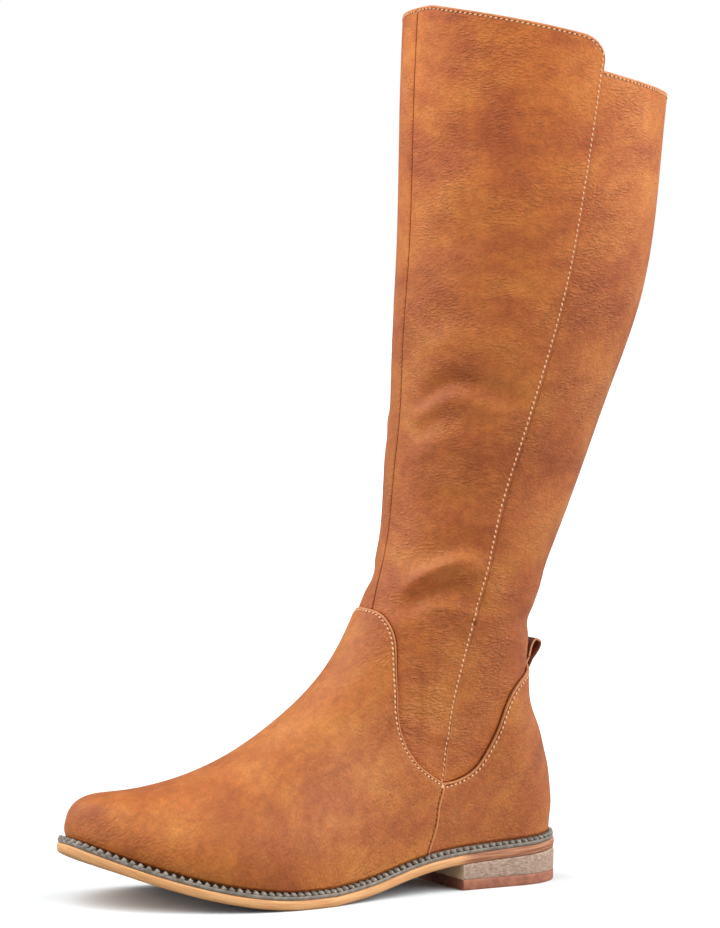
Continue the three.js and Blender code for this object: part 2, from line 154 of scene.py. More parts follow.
# Sections of the leather, heel to collar: where each meets the ridge of the foot or shin and the heel or
# calf, its half width on the leg, how far from the back its side seam lies, how far the foot shapes it,
# and how far it follows the curve of the sole.
section = columns(
    "front_x front_z back_x back_z half seam foot sag",
    [
        (toe_tip, feather_z(toe_tip * length) / boot_height)
        + (heel_tip, feather_z(heel_tip * length) / boot_height, 0.5, 0.322, 1, 1),
        (0.970, 0.0860, 0.025, 0.073, 0.510, 0.312, 1.00, 0.97),
        (0.964, 0.1020, 0.023, 0.088, 0.520, 0.306, 1.00, 0.90),
        (0.930, 0.1145, 0.025, 0.103, 0.530, 0.312, 1.00, 0.80),
        (0.858, 0.1180, 0.028, 0.118, 0.540, 0.328, 0.97, 0.66),
        (0.765, 0.1300, 0.033, 0.135, 0.550, 0.358, 0.92, 0.50),
        (0.670, 0.1550, 0.042, 0.154, 0.560, 0.400, 0.84, 0.34),
        (0.582, 0.1900, 0.054, 0.177, 0.570, 0.445, 0.70, 0.20),
        (0.502, 0.2300, 0.074, 0.205, 0.580, 0.490, 0.50, 0.10),
        (0.440, 0.2770, 0.082, 0.240, 0.600, 0.530, 0.28, 0.03),
        (0.392, 0.3350, 0.083, 0.284, 0.630, 0.555, 0.10, 0.00),
        (0.358, 0.4000, 0.071, 0.338, 0.670, 0.568, 0.00, 0.00),
        (0.350, 0.4750, 0.031, 0.402, 0.720, 0.572, 0.00, 0.00),
        (0.339, 0.5500, -0.016, 0.478, 0.790, 0.560, 0.00, 0.00),
        (0.334, 0.6350, -0.068, 0.565, 0.870, 0.542, 0.00, 0.00),
        (0.328, 0.7250, -0.125, 0.660, 0.940, 0.536, 0.00, 0.00),
        (0.326, 0.8200, -0.155, 0.760, 0.985, 0.522, 0.00, 0.00),
        (0.326, 0.9150, -0.169, 0.860, 1.000, 0.495, 0.00, 0.00),
        (0.323, 1.0200, -0.188, 0.965, 1.000, 0.475, 0.00, 0.00),
    ],
)
last_row = 18
widest = 0.47  # share of the way from heel or calf to ridge or shin at which the boot is widest
heel_round, toe_round = 27 * mm, 0.27 * length
ridge_rows = np.linspace(last_row, 0, 400)
ridge_x = np.maximum.accumulate(section["front_x"](ridge_rows) * length)
ridge_height = section["front_z"](ridge_rows) * boot_height


def rounded(t, power):
    """Quarter of a superellipse: 1 at t = 0, falling to 0 at t = 1."""
    return (1 - np.minimum(1, np.abs(t)) ** power) ** (1 / power)


def eased(t):
    t = np.clip(t, 0, 1)
    return t * t * (3 - 2 * t)


def body_point(u, row):
    """A point of the form. u goes round it: 0 the shin, 0.25 the outer side, 0.5 the calf."""
    u, row = np.broadcast_arrays(np.asarray(u, float), np.asarray(row, float))
    turn = u % 1.0
    outer = turn <= 0.5
    t = np.where(outer, 2 * turn, 2 - 2 * turn)
    crossing = np.arccos(2 * section["seam"](row) - 1) / np.pi
    s = (1 + np.cos(np.pi * (t + 4 * (crossing - 0.5) * t * (1 - t)))) / 2
    back_x, front_x = section["back_x"](row) * length, section["front_x"](row) * length
    back_z, front_z = section["back_z"](row) * boot_height, section["front_z"](row) * boot_height
    x = back_x + (front_x - back_x) * s
    level = feather_z(back_x) + (feather_z(front_x) - feather_z(back_x)) * s
    z = back_z + (front_z - back_z) * s + section["sag"](row) * (feather_z(x) - level)

    foot = np.clip(section["foot"](row), 0, 1)
    base = feather_z(x)
    top = np.interp(x, ridge_x, ridge_height)
    h = np.clip((z - base) / np.maximum(mm, top - base), 0, 1)
    swell = 1 + 0.05 * np.sin(np.pi * np.minimum(1, 1.6 * h))
    tip = section["front_x"](np.minimum(1, row)) * length
    heel = rounded(1 - np.clip((x - back_x) / heel_round, 0, 1), 2.2)
    toe = rounded(1 - np.clip((tip - x) / toe_round, 0, 1), 2.25)
    foot_half = plan["half"](x / length) * ball_width * heel * toe * rounded(h, 2.3) * swell
    behind = s < widest
    reach = np.where(behind, (widest - s) / widest, (s - widest) / (1 - widest))
    leg_half = section["half"](row) * calf_width / 2
    leg_half = leg_half * np.where(behind, rounded(reach, 2.1), rounded(reach, 1.95))
    half = foot * foot_half + (1 - foot) * leg_half
    centre = foot * plan["centre"](x / length) * ball_width + (1 - foot) * leg_centre
    return np.stack([x, centre + np.where(outer, half, -half), z], axis=-1)


def unit(vectors):
    return vectors / np.maximum(1e-12, np.linalg.norm(vectors, axis=-1, keepdims=True))


def row_at_height(u, z):
    """The section row whose point at u is z high."""
    u, z = np.broadcast_arrays(np.asarray(u, float), np.asarray(z, float))
    low, high = np.zeros(u.shape), np.full(u.shape, float(last_row))
    for _ in range(30):
        middle = (low + high) / 2
        under = body_point(u, middle)[..., 2] < z
        low, high = np.where(under, middle, low), np.where(under, high, middle)
    return (low + high) / 2


# Folds of the worn leather: height over the surface and half width in mm, then the path, as places round
# the boot and heights over the floor in mm. Minus is a trough.
folds = [
    (-2.6, 5.0, (0.04, 223), (0.08, 234), (0.12, 239.5), (0.16, 238), (0.21, 233), (0.255, 229)),
    (+0.7, 7.0, (0.05, 252), (0.12, 260), (0.21, 252)),
    (+1.0, 4.2, (0.035, 218), (0.065, 224), (0.095, 230), (0.13, 232), (0.19, 226)),
    (-0.8, 4.6, (0.05, 211), (0.085, 219), (0.13, 223), (0.20, 218)),
    (+0.7, 5.0, (0.05, 199), (0.10, 209), (0.16, 211), (0.21, 206)),
    (-0.9, 6.0, (0.08, 178), (0.14, 184), (0.20, 184), (0.26, 180)),
    (-1.0, 5.0, (0.09, 156), (0.144, 162), (0.188, 165), (0.235, 165)),
    (+3.0, 4.2, (0.08, 137), (0.115, 146), (0.146, 151), (0.176, 154), (0.211, 155), (0.26, 154)),
    (-3.7, 5.2, (0.09, 129), (0.117, 135), (0.138, 138.5), (0.156, 141), (0.195, 142.5), (0.27, 142)),
    (-1.0, 3.2, (0.20, 135.5), (0.235, 135), (0.27, 134.5)),
    (+1.0, 2.5, (0.14, 133), (0.18, 133.5), (0.22, 132), (0.258, 130)),
    (-0.8, 1.5, (0.222, 128.8), (0.24, 127.6), (0.256, 126.4)),
    (+0.5, 1.5, (0.205, 127.5), (0.228, 125.2), (0.255, 122)),
    (-0.4, 1.5, (0.205, 124.5), (0.228, 122.4), (0.255, 119.5)),
    (+0.9, 7.0, (0.08, 122), (0.13, 131), (0.17, 134)),
    (-0.8, 9.0, (0.044, 348), (0.09, 350), (0.15, 347)),
    (+0.6, 9.0, (0.05, 327), (0.11, 329), (0.17, 326)),
    (-0.8, 9.0, (0.05, 304), (0.09, 306), (0.14, 303)),
    (-0.7, 8.0, (0.04, 270), (0.10, 268), (0.15, 271)),
    (-0.4, 2.5, (0.218, 69.5), (0.233, 69), (0.258, 67.5)),
    (+0.5, 2.5, (0.215, 74.5), (0.234, 75), (0.258, 73)),
    (-0.5, 12.0, (0.28, 262), (0.33, 258), (0.40, 262)),
    (-0.6, 11.0, (0.27, 196), (0.32, 190), (0.40, 194)),
    (-0.7, 8.0, (0.26, 150), (0.33, 146), (0.42, 150)),
]
# Fine wrinkles, in the same words.
folds += [
    (-0.35, 1.8, (0.11, 209), (0.155, 212), (0.20, 207)),
    (-0.40, 1.6, (0.13, 203.5), (0.17, 205), (0.22, 201)),
    (-0.35, 1.7, (0.12, 198), (0.16, 200), (0.21, 197)),
    (-0.40, 1.6, (0.14, 192), (0.18, 194), (0.235, 190)),
    (-0.30, 1.8, (0.10, 172), (0.15, 176), (0.19, 176)),
    (-0.35, 1.7, (0.15, 112), (0.19, 109), (0.24, 106)),
    (-0.30, 1.7, (0.17, 99), (0.21, 98), (0.246, 97)),
    (-0.30, 1.7, (0.166, 92), (0.204, 91), (0.246, 89)),
    (-0.30, 1.7, (0.19, 84), (0.215, 83.5), (0.245, 82)),
]
# The inner side creases the same way, further back, more shallowly and a little lower.
folds += [
    (0.7 * height, 1.15 * width) + tuple((-u - 0.04, z - 5) for u, z in path)
    for height, width, *path in folds
    if width > 2.6
]
# Where the shin turns into the instep, and where the calf panel bends over the top of the counter.
folds += [
    (-1.6, 6.0, (-0.03, 149), (-0.09, 146), (-0.15, 148)),
    (-1.6, 5.5, (0.32, 131), (0.38, 127), (0.50, 125), (0.62, 129)),
    (+0.7, 7.0, (0.34, 146), (0.40, 143), (0.50, 142), (0.60, 145)),
]


def fold_lines():
    """Each fold with its path as points of the form."""
    for height, width, *path in folds:
        around, heights = np.array(path).T
        t = np.linspace(0, len(path) - 1, 6 * len(path))
        knots = np.arange(len(path))
        u = curve_through(knots, around)(t)
        z = curve_through(knots, heights)(t) * mm
        yield height * mm, width * mm, body_point(u, row_at_height(u, z))


fold_paths = list(fold_lines())


def fold_height(points):
    """How far the folds lift the leather at points of the form."""
    lift = np.zeros(points.shape[:-1])
    for height, width, path in fold_paths:
        low, high = path.min(0) - 3 * width, path.max(0) + 3 * width
        near = ((points > low) & (points < high)).all(axis=-1)
        at = points[near]
        nearest, share = np.full(len(at), 1e9), np.zeros(len(at))
        for i in range(len(path) - 1):
            step = path[i + 1] - path[i]
            t = np.clip((at - path[i]) @ step / (step @ step), 0, 1)
            away = np.linalg.norm(at - path[i] - t[:, None] * step, axis=1)
            closer = away < nearest
            nearest = np.where(closer, away, nearest)
            share = np.where(closer, (i + t) / (len(path) - 1), share)
        fade = eased(share / 0.3) * eased((1 - share) / 0.3)
        lift[near] += height * fade * np.exp(-((nearest / width) ** 2))
    return lift


welt_at_toe, welt_at_heel, sole_edge = 6.2 * mm, 3.8 * mm, 0.6 * mm
sole_front = toe_tip * length + welt_at_toe + sole_edge
shaft_sides = [corner.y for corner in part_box("upper")]
datum = Vector((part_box("outsole")[1].x - sole_front, sum(shaft_sides) / 2 - leg_centre, 0))


def on_body(u, row, out=0.0):
    """Points of the leather in the boot's frame, `out` over the form, its folds included."""
    u, row, out = np.broadcast_arrays(np.asarray(u, float), np.asarray(row, float), np.asarray(out, float))
    du, dr = 0.004, 0.05
    around = body_point(u + du, row) - body_point(u - du, row)
    up = body_point(u, row + dr) - body_point(u, np.maximum(0, row - dr))
    normal = unit(np.cross(around, up))
    free = eased(row)  # 0 at the feather line, where the leather lies on the welt
    normal[..., 2] *= free
    base = body_point(u, row)
    moved = base + unit(normal) * (out + fold_height(base))[..., None]
    moved[..., 2] += (1 - free) * (feather_z(moved[..., 0]) - feather_z(base[..., 0]))
    return moved + np.array(datum)


def spaced(span, step, fine=0.5 * mm, margin=3 * mm):
    """Shares from 0 to 1 over a span, `fine` apart within `margin` of both ends and `step` between."""
    edge = np.arange(0, margin, fine)
    middle = np.linspace(margin, span - margin, max(2, round((span - 2 * margin) / step)))
    return np.concatenate([edge, middle, span - edge[::-1]]) / span


mark_reach = 4 * mm  # how far in from an edge its closeness is kept
merge_within, sharp = 0.001 * mm, 1.0  # the second in radians


def sheet(name, lay, across, up, thick, edge_round, *materials):
    """A piece of leather whose outer face is at lay(share across, share up), `thick` through.

    lay may also give the distances to the piece's own edge and to where shade is painted on it, beside an
    edge that laps over it, a seam or the welt. They are kept as "edge" and "under": 1 at the edge, falling to
    0. Cut edges take the second material, if any."""
    bm = bmesh.new()
    bmesh.ops.create_grid(bm, x_segments=len(across) - 1, y_segments=len(up) - 1, size=0.5)
    points, *distances = lay(*np.meshgrid(across, up))
    for vert, point in zip(bm.verts, points.reshape(-1, 3)):
        vert.co = point
    for mark, away in zip(("edge", "under"), distances):
        layer = bm.verts.layers.float.new(mark)
        for vert, closeness in zip(bm.verts, np.clip(1 - away / mark_reach, 0, 1).ravel()):
            vert[layer] = closeness
    bmesh.ops.remove_doubles(bm, verts=bm.verts, dist=merge_within)
    bmesh.ops.solidify(bm, geom=bm.faces, thickness=thick)
    rims = [edge for edge in bm.edges if edge.is_manifold and edge.calc_face_angle() > sharp]
    corners = set(rims)
    for face in {face for edge in rims for face in edge.link_faces}:
        if len(materials) > 1 and sum(edge in corners for edge in face.edges) > 1:
            face.material_index = 1
    round_off(bm, rims, edge_round, 3)
    return finished(name, bm, *materials)


def round_off(bm, edges, offset, segments):
    bmesh.ops.bevel(
        bm, geom=edges, offset=offset, segments=segments, affect="EDGES", profile=0.5, material=-1,
        clamp_overlap=True
    )


def placed(name, bm, *materials):
    """The mesh as an object of the scene."""
    for face in bm.faces:
        face.smooth = True
    mesh = bpy.data.meshes.new(name)
    bm.to_mesh(mesh)
    bm.free()
    for material in materials:
        mesh.materials.append(material)
    return in_scene(name, mesh)


def in_scene(name, data):
    made = bpy.data.objects.new(name, data)
    bpy.context.scene.collection.objects.link(made)
    return made


def finished(name, bm, *materials):
    """The mesh as a piece of the boot."""
    piece = placed(name, bm, *materials)
    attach(piece, "root")
    return piece


def distance_from(points, axis, last):
    """How far each point of a sheet lies from its first or last edge, measured along the sheet."""
    points = np.moveaxis(points, axis, 0)
    if last:
        points = points[::-1]
    steps = np.linalg.norm(np.diff(points, axis=0), axis=-1)
    away = np.concatenate([np.zeros((1,) + steps.shape[1:]), np.cumsum(steps, axis=0)])
    return np.moveaxis(away[::-1] if last else away, 0, axis)


def away_from(line):
    """A measure of how far points lie from a line given by close points."""
    tree = KDTree(len(line))
    for i, point in enumerate(line):
        tree.insert(point, i)
    tree.balance()

    def measure(points):
        return np.array([tree.find(point)[2] for point in points.reshape(-1, 3)]).reshape(points.shape[:-1])

    return measure


def from_side_seam(u, row):
    here = body_point(u, row)
    gaps = [np.linalg.norm(here - body_point(side * side_seam, row), axis=-1) for side in (1, -1)]
    return np.minimum(*gaps)


def dip(away, at, half):
    """A soft channel `at` a distance from an edge, 1 deep and `half` wide to each side."""
    return np.exp(-(((away - at) / half) ** 2))


def srgb(*levels):
    """A colour from its red, green and blue levels, none of them nearly black."""
    return tuple(((level / 255 + 0.055) / 1.055) ** 2.4 for level in levels) + (1,)


class Web:
    """Adds nodes to a tree and links them, so that a material reads as a list of steps."""

    def __init__(self, tree):
        self.tree = tree

    def feed(self, socket, value):
        if isinstance(value, bpy.types.NodeSocket):
            self.tree.links.new(value, socket)
        else:
            socket.default_value = value

    def add(self, kind, settings=None, **inputs):
        """A node with its settings; an input is given by name, or by number after an underscore."""
        node = self.tree.nodes.new(kind)
        for key, value in (settings or {}).items():
            setattr(node, key, value)
        for key, value in inputs.items():
            self.feed(node.inputs[int(key[1:]) if key[1:].isdigit() else key.replace("_", " ")], value)
        return node

    def math(self, operation, *values):
        inputs = {f"_{number}": value for number, value in enumerate(values)}
        return self.add("ShaderNodeMath", {"operation": operation}, **inputs).outputs[0]

    def times(self, a, b):
        return self.math("MULTIPLY", a, b)

    def plus(self, a, b):
        return self.math("ADD", a, b)

    def minus(self, a, b):
        return self.math("SUBTRACT", a, b)

    def range(self, value, low, high, to_low=0.0, to_high=1.0):
        limits = {"From_Min": low, "From_Max": high, "To_Min": to_low, "To_Max": to_high}
        node = self.add("ShaderNodeMapRange", {"interpolation_type": "SMOOTHSTEP"}, Value=value, **limits)
        return node.outputs["Result"]

    def noise(self, vector, scale, detail=2.0, roughness=0.5, distortion=0.0):
        shape = {"Scale": scale, "Detail": detail, "Roughness": roughness, "Distortion": distortion}
        return self.add("ShaderNodeTexNoise", Vector=vector, **shape).outputs["Fac"]

    def stretched(self, vector, scale, rotation=(0, 0, 0)):
        return self.add("ShaderNodeMapping", Vector=vector, Scale=scale, Rotation=rotation).outputs[0]

    def blend(self, share, a, b, kind="MIX"):
        node = self.add("ShaderNodeMix", {"data_type": "RGBA", "blend_type": kind}, _0=share, _6=a, _7=b)
        return node.outputs[2]

    def grey(self, value):
        return self.add("ShaderNodeCombineColor", Red=value, Green=value, Blue=value).outputs[0]

    def mark(self, name):
        """A value kept on the piece's own points."""
        return self.add("ShaderNodeAttribute", {"attribute_name": name}).outputs["Fac"]

    def colour(self, shader, value):
        self.feed(shader.inputs["Base Color"], value)

    def relief(self, shader, height, deep):
        """The height as relief on the surface, up to `deep` mm."""
        bump = self.add("ShaderNodeBump", Strength=1.0, Distance=deep * mm, Height=height)
        self.feed(shader.inputs["Normal"], bump.outputs["Normal"])


def material_of(name, roughness=0.5, gloss=0.35):
    """A material, its web, its Object coordinates and its shader."""
    material = bpy.data.materials.new(name)
    material.use_nodes = True
    shader = material.node_tree.nodes["Principled BSDF"]
    shader.inputs["Roughness"].default_value = roughness
    shader.inputs["Specular IOR Level"].default_value = gloss
    web = Web(material.node_tree)
    return material, web, web.add("ShaderNodeTexCoord").outputs["Object"], shader


def effect(name, inputs, outputs):
    """An empty node group with those sockets, its web, and its input and output nodes."""
    group = bpy.data.node_groups.new(name, "ShaderNodeTree")
    for direction, sockets in (("INPUT", inputs), ("OUTPUT", outputs)):
        for label, kind, *default in sockets:
            socket = group.interface.new_socket(label, in_out=direction, socket_type="NodeSocket" + kind)
            if default:
                socket.default_value = default[0]
    web = Web(group)
    return group, web, web.add("NodeGroupInput").outputs, web.add("NodeGroupOutput").inputs


def hide_group():
    """The coated, milled hide: cloudy tones, soft grain, fine level wrinkles, marked edges and painted shade.
    """
    group, web, given, made = effect(
        "hide",
        [("Place", "Vector"), ("Light", "Color"), ("Middle", "Color"), ("Dark", "Color"), ("Rim", "Color")]
        + [("Wrinkle", "Float", 1), ("Edge", "Float"), ("Under", "Float")],
        [("Color", "Color"), ("Roughness", "Float"), ("Height", "Float")],
    )
    place = given["Place"]
    drift = web.add("ShaderNodeTexNoise", Vector=place, Scale=22, Detail=2).outputs["Color"]
    drifted = web.add("ShaderNodeMix", {"data_type": "VECTOR"}, Factor=0.02, _4=place, _5=drift).outputs[1]
    clouds = web.noise(web.stretched(drifted, (1, 1, 1.3)), 27, 3, 0.5)
    spots = web.noise(web.stretched(drifted, (0.8, 0.8, 1.6)), 80, 3, 0.6)
    tone = web.plus(web.times(clouds, 0.64), web.times(spots, 0.36))
    shade = web.blend(web.range(tone, 0.30, 0.54), given["Dark"], given["Middle"])
    shade = web.blend(web.range(tone, 0.46, 0.70), shade, given["Light"])
    # Wrinkles lie level and come and go in patches; the grain is a finer, rounder pattern under them.
    patch = web.range(web.noise(place, 42, 2), 0.42, 0.66, 0.10, 1)
    wavy = web.add("ShaderNodeMix", {"data_type": "VECTOR"}, Factor=0.004, _4=place, _5=drift).outputs[1]
    level = web.noise(web.stretched(wavy, (0.36, 0.36, 1)), 620, 2, 0.5, 0.1)
    crease = web.range(web.math("ABSOLUTE", web.minus(level, 0.5)), 0, 0.19)
    grain = web.noise(web.stretched(place, (0.75, 0.75, 1)), 900, 1.5)
    wrinkle = web.times(web.times(crease, patch), given["Wrinkle"])
    height = web.plus(wrinkle, web.times(grain, 1.1))
    # Painted shade: the colour darkens along each wrinkle line, in its valley.
    valley = web.minus(patch, web.times(crease, patch))
    wrinkle_shade = web.times(web.times(valley, given["Wrinkle"]), 0.15)
    shade = web.blend(wrinkle_shade, shade, srgb(138, 66, 30))
    mottle = web.noise(place, 260, 2)
    mottle = web.plus(web.times(grain, 0.5), web.times(mottle, 0.5))
    fleck = web.range(mottle, 0.3, 0.7, 0.86, 1.14)
    shade = web.blend(1, shade, web.grey(fleck), "MULTIPLY")
    # A pale worn band along a cut edge, painted shade along the row of needle holes inside it, and painted
    # shade outside a lapped edge.
    rim = web.range(given["Edge"], 0.76, 0.88)
    stitch_line_shade = web.range(web.math("ABSOLUTE", web.minus(given["Edge"], 0.625)), 0.04, 0.11, 1, 0)
    # Painted shade: where "Under" is high, beside a lapped edge, a seam or the welt, the colour darkens and
    # the relief dips.
    painted_shade = web.range(given["Under"], 0.82, 0.98)
    shade = web.blend(web.times(rim, 0.55), shade, given["Rim"])
    shade = web.blend(web.times(stitch_line_shade, 0.55), shade, srgb(112, 58, 30))
    shade = web.blend(web.times(painted_shade, 0.65), shade, srgb(84, 38, 16))
    height = web.minus(height, web.plus(stitch_line_shade, web.times(painted_shade, 1.5)))
    web.feed(made["Color"], shade)
    web.feed(made["Roughness"], web.range(tone, 0.3, 0.7, 0.56, 0.46))
    web.feed(made["Height"], height)
    return group


hide, worn_rim = hide_group(), (232, 160, 108)


def leather(name, light, middle, dark, turn=0.0, wrinkle=1.0, painted_top_light=0.0):
    """The hide as a material, its level wrinkles turned about the boot's width by `turn` degrees."""
    material, web, flat_place, shader = material_of(name)
    place = web.stretched(flat_place, (1, 1, 1), (0, math.radians(turn), 0))
    skin = web.add("ShaderNodeGroup", {"node_tree": hide}, Place=place, Wrinkle=wrinkle)
    for tone, colour in (("Light", light), ("Middle", middle), ("Dark", dark), ("Rim", worn_rim)):
        web.feed(skin.inputs[tone], srgb(*colour))
    # The "under" mark carries where shade is painted on the piece.
    for mark in ("edge", "under"):
        web.feed(skin.inputs[mark.title()], web.mark(mark))
    # Painted light and shade: the colour is darkened below the calf and lightened towards the top of the leg.
    up_the_leg = web.add("ShaderNodeSeparateXYZ", Vector=flat_place).outputs["Z"]
    painted_light_by_height = web.range(up_the_leg, 220 * mm, 400 * mm, 1 - 0.2 * painted_top_light, 1 + painted_top_light)
    web.colour(shader, web.blend(1.0, skin.outputs["Color"], web.grey(painted_light_by_height), "MULTIPLY"))
    web.relief(shader, skin.outputs["Height"], 0.3)
    web.feed(shader.inputs["Roughness"], skin.outputs["Roughness"])
    return material


side_seam = 0.25  # place of the outer side seam; the inner one is at -side_seam
shin_out, overlay, layer_gap = 0.9 * mm, 0.9 * mm, 0.7 * mm
leather_thick = 1.9 * mm
channel_deep, channel_half = 0.22 * mm, 0.5 * mm  # where a row of stitches draws the leather down
press_deep, press_half = 0.35 * mm, 1.8 * mm  # where the edge of the foot's second layer presses on the shaft
shaft_leather = leather("shaft_leather", (202, 123, 55), (186, 103, 46), (161, 80, 39), painted_top_light=0.3)
cut_edge = leather("cut_edge", (190, 120, 72), (176, 106, 62), (160, 92, 54), wrinkle=0.2)


def edge_line(rows):
    """The top edge of the vamp or counter, from the middle (0) to the side seam (1), and its last row."""
    return columns("share foot height", rows), len(rows) - 1


vamp_edge = edge_line(
    [
        (0.00, 0.00, 131.5), (0.20, 0.10, 130.5), (0.35, 0.20, 126.0), (0.46, 0.31, 118.5),
        (0.54, 0.42, 108.0), (0.63, 0.54, 95.0), (0.73, 0.67, 79.0), (0.82, 0.79, 67.0),
        (0.91, 0.90, 58.0), (1.00, 1.00, 51.0),
    ]
)
counter_edge = edge_line(
    [
        (0.00, 0.00, 105.0), (0.20, 0.14, 103.3), (0.38, 0.29, 100.0), (0.52, 0.44, 95.5),
        (0.62, 0.56, 88.0), (0.71, 0.67, 77.0), (0.79, 0.77, 66.5), (0.86, 0.86, 58.0),
        (0.93, 0.93, 53.0), (1.00, 1.00, 50.5),
    ]
)


def edge_height(line, share):
    edge, last = line
    t = np.linspace(0, last, 200)
    return np.interp(np.abs(share), edge["share"](t), edge["height"](t)) * mm


def shin_collar(u):
    """Height of the shin panels' top: a crest by the shin, a dip to each side seam, and a round corner."""
    crest, corner, dip_to_seam = 0.03, 10 * mm, 15 * mm
    t = np.abs(u - crest) / (side_seam - np.sign(u - crest) * crest)
    to_edge = np.clip(corner - (side_seam - np.abs(u)) * 2.95 * calf_width, 0, corner)
    drop = corner - np.sqrt(corner**2 - to_edge**2)
    return boot_height - dip_to_seam * (0.6 * t + 0.4 * t * t) - drop


def calf_collar(u):
    t = np.abs(np.asarray(u) % 1.0 - 0.5) / side_seam
    return (375.5 + 10.5 * t * t) * mm


def shaft_foot(u):
    """Where the shaft's leather ends, under the vamp and the counter."""
    turn = np.abs((np.asarray(u) + 0.5) % 1.0 - 0.5)
    in_front = edge_height(vamp_edge, np.minimum(1, turn / side_seam))
    behind = edge_height(counter_edge, np.minimum(1, (0.5 - turn) / side_seam))
    return np.where(turn < side_seam, in_front, behind) - 9 * mm


shin_seam = curve_through(
    [120, 132, 140, 155, 168, 203, 245, 283, 346, 415],
    [0.030, 0.021, 0.008, -0.010, -0.015, -0.006, -0.010, -0.0065, -0.003, 0.0015],
)


def round_edge(line, middle, count):
    """Places and section rows along such an edge, right round from side seam to side seam."""
    edge, last = line
    t = np.linspace(-last, last, count)
    u = middle + np.sign(t) * side_seam * edge["share"](np.abs(t))
    return u, row_at_height(u, edge["height"](np.abs(t)) * mm)


overlay_edges = [round_edge(line, middle, 1400) for line, middle in ((vamp_edge, 0), (counter_edge, 0.5))]
from_overlay = away_from(np.concatenate([body_point(u, row) for u, row in overlay_edges]))


def rows_between(u, b, low, high):
    return row_at_height(u[0], low(u[0])) * (1 - b) + row_at_height(u[0], high(u[0])) * b


def shin_panel(side):
    """Lays the outer (1) or inner (-1) shin panel."""

    def lay(a, b):
        a = a if side > 0 else 1 - a
        row = rows_between(a * side_seam * side, b, shaft_foot, shin_collar)
        for _ in range(2):
            seam = shin_seam(body_point(a * side_seam * side, row)[..., 2] / mm)
            u = seam + (side_seam * side - seam) * a
        flat = body_point(u, row)
        from_seam = distance_from(flat, 1, side < 0)
        from_lap = distance_from(flat, 1, side > 0)
        from_top = distance_from(flat, 0, True)
        off_overlay = from_overlay(flat)
        out = shin_out - 0.6 * mm * dip(from_seam, 0, 0.8 * mm) - press_deep * dip(off_overlay, 0, press_half)
        out -= channel_deep * (dip(from_lap, 1.5 * mm, channel_half) + dip(from_top, 1.6 * mm, channel_half))
        # Where shade is painted: beside the vamp's and counter's edges and along the shin seam.
        under = np.minimum(off_overlay, from_seam + 0.2 * mm)
        return on_body(u, row, out), np.minimum(from_lap, from_top), under

    return lay


panel_width, shaft_tall = 95 * mm, 330 * mm
for side, name in ((1, "shin_panel_outer"), (-1, "shin_panel_inner")):
    panel = sheet(
        name, shin_panel(side), spaced(panel_width, 1.25 * mm), spaced(shaft_tall, 1.3 * mm),
        leather_thick, 0.4 * mm, shaft_leather, cut_edge
    )
    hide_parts("upper")

lap = 0.02  # how far the calf panel reaches under the shin panels, as a share of the way round


def lay_calf_panel(a, b):
    u = side_seam - lap + (0.5 + 2 * lap) * a
    row = rows_between(u, b, shaft_foot, calf_collar)
    flat = body_point(u, row)
    from_top = distance_from(flat, 0, True)
    off_overlay = from_overlay(flat)
    out = -channel_deep * dip(from_top, 1.6 * mm, channel_half) - press_deep * dip(off_overlay, 0, press_half)
    # The last distance is where shade is painted: beside the vamp's and counter's edges, and beside the side
    # seams under the shin panels' edges.
    return on_body(u, row, out), from_top, np.minimum(off_overlay, from_side_seam(u, row))


calf_panel = sheet(
    "calf_panel", lay_calf_panel, spaced(2.1 * panel_width, 1.5 * mm), spaced(shaft_tall, 1.5 * mm),
    0.95 * mm, 0.35 * mm, shaft_leather, cut_edge
)
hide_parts("upper")


# ------------------------------
# Vamp and heel counter: second layers cemented and stitched over the foot of the shaft. They meet in a
# seam down each side, where the vamp laps over the counter, and their top edges are skived thin.
vamp_out = shin_out + layer_gap + overlay
counter_out = layer_gap + overlay
skived = 5 * mm  # how far in from their top edges they are pared thin
foot_shade_spread = 2.2  # how much wider the painted shade over the welt is than that beside a lapped edge
foot_grain = {"turn": -38, "wrinkle": 0.6}
foot_leather = leather("foot_leather", (198, 124, 54), (182, 103, 44), (160, 83, 38), **foot_grain)


def under_edge(line, middle, lap, a, b):
    """Place and section row of a sheet from the feather line to such an edge, `lap` past the side seams."""
    edge, last = line
    t = (2 * a[0] - 1) * last
    past = lap * eased((np.abs(t) / last - 0.93) / 0.07)
    foot_u = middle + np.sign(t) * (side_seam * edge["foot"](np.abs(t)) + past)
    top_u = middle + np.sign(t) * (side_seam * edge["share"](np.abs(t)) + past)
    top_row = row_at_height(top_u, edge["height"](np.abs(t)) * mm)
    return foot_u + (top_u - foot_u) * b, top_row * b


def lay_vamp(a, b):
    u, row = under_edge(vamp_edge, 0, 0, a, b)
    flat = body_point(u, row)
    from_top = distance_from(flat, 0, True)
    from_side = np.minimum(distance_from(flat, 1, False), distance_from(flat, 1, True))
    out = vamp_out - 0.25 * mm * (1 - eased(from_top / skived))
    out -= channel_deep * (dip(from_top, 1.5 * mm, channel_half) + dip(from_side, 1.5 * mm, channel_half))
    # The last distance is where shade is painted: along the vamp's foot, over the welt.
    return on_body(u, row, out), np.minimum(from_top, from_side), distance_from(flat, 0, False) / foot_shade_spread


def lay_counter(a, b):
    under_vamp = 3 * mm / (2 * ball_width)
    u, row = under_edge(counter_edge, 0.5, under_vamp, a, b)
    flat = body_point(u, row)
    from_top = distance_from(flat, 0, True)
    from_foot = distance_from(flat, 0, False) / foot_shade_spread
    out = counter_out - 0.15 * mm * (1 - eased(from_top / skived))
    out -= channel_deep * dip(from_top, 1.5 * mm, channel_half)
    # The last distance is where shade is painted: along the counter's foot over the welt, and beside the side
    # seams where the vamp laps over it.
    return on_body(u, row, out), from_top, np.minimum(from_foot, from_side_seam(u, row))


